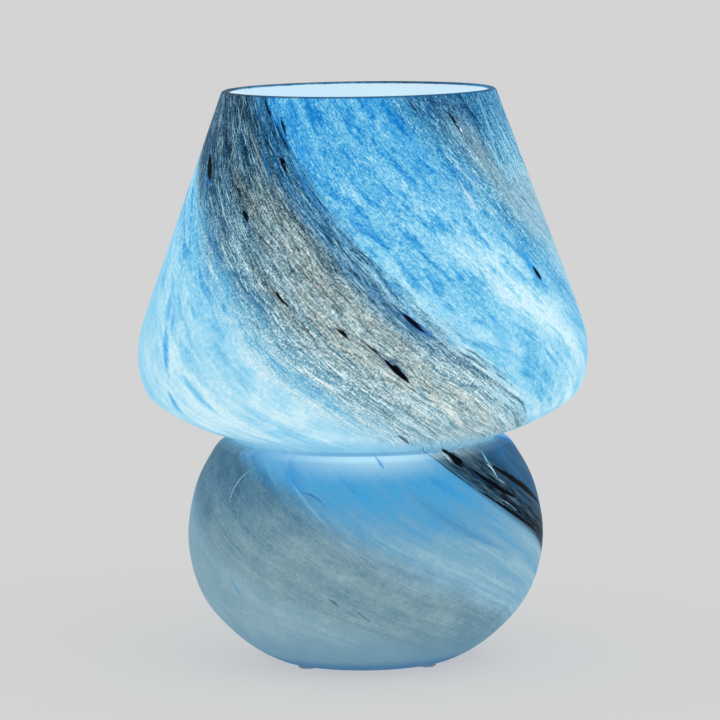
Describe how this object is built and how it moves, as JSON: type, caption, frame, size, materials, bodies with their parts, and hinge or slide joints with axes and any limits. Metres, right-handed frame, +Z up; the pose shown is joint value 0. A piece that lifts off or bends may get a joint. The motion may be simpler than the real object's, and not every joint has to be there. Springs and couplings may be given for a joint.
{
  "type": "mushroom table lamp",
  "caption": "One-piece blown cased-glass mushroom lamp, open at the top, lit from inside by a screw-in globe bulb on a bracket in its waist.",
  "frame": {"origin": "centre of the foot, on the surface that the lamp stands on", "axes": "+Z up, along the axis of the lamp; the cable hole faces +Y, the front of the lamp faces -Y"},
  "size_m": [0.19, 0.19, 0.2415],
  "materials": {
    "blown_glass": "satin cased glass, opal inside, blue outside with smoky grey and black streaks",
    "clear_silicone": "soft, clear",
    "zinc_steel": "zinc plated",
    "spring_steel": "blued spring temper",
    "soft_sleeve": "matte",
    "nylon": "matte moulded",
    "holder_phenolic": "satin moulded",
    "porcelain": "unglazed at the face",
    "contact_brass": "pressed",
    "bulb_opal": "satin opal, lit",
    "bulb_collar": "matte moulded",
    "nickel_cap": "drawn, satin",
    "black_insulator": "gloss",
    "tin_contact": "tinned",
    "board_white": "white solder mask",
    "led_phosphor": "phosphor dome",
    "board_green": "solder mask"
  },
  "bodies": {
    "lamp": {"glass_body": "blown_glass", "cable_grommet": "clear_silicone", "foot_bumpers": "clear_silicone", "support_bracket": "zinc_steel", "arm_sleeves": "soft_sleeve", "spring_clips": "spring_steel", "clip_screws": "zinc_steel", "clip_nuts": "zinc_steel", "threaded_tube": "zinc_steel", "tube_locknut": "zinc_steel", "lock_washer": "zinc_steel", "cord_grip": "nylon", "cord_grip_screw": "zinc_steel", "holder_cap": "holder_phenolic", "holder_grub_screw": "zinc_steel", "holder_insert": "porcelain", "holder_shell": "holder_phenolic", "centre_contact": "contact_brass", "side_contact": "contact_brass", "terminal_screws": "contact_brass"},
    "bulb_contact": {"bulb_tip_contact": "tin_contact"},
    "bulb": {"bulb_globe": "bulb_opal", "bulb_housing": "bulb_collar", "bulb_screw_shell": "nickel_cap", "bulb_insulator": "black_insulator", "led_board": "board_white", "led_chips": "led_phosphor", "driver_board": "board_green"}
  },
  "joints": [
    {"name": "bulb_lift", "type": "slide", "parent": "lamp", "child": "bulb_contact", "axis": [0, 0, 1], "range_m": [0, 0.0145]},
    {"name": "bulb_turn", "type": "hinge", "parent": "bulb_contact", "child": "bulb", "pos_m": [0, 0, 0.1286], "axis": [0, 0, 1], "range_deg": [0, 1440]}
  ],
  "couplings": [
    {"joint": "bulb_lift", "follows": "bulb_turn", "m_per_rad": 0.00057614}
  ]
}
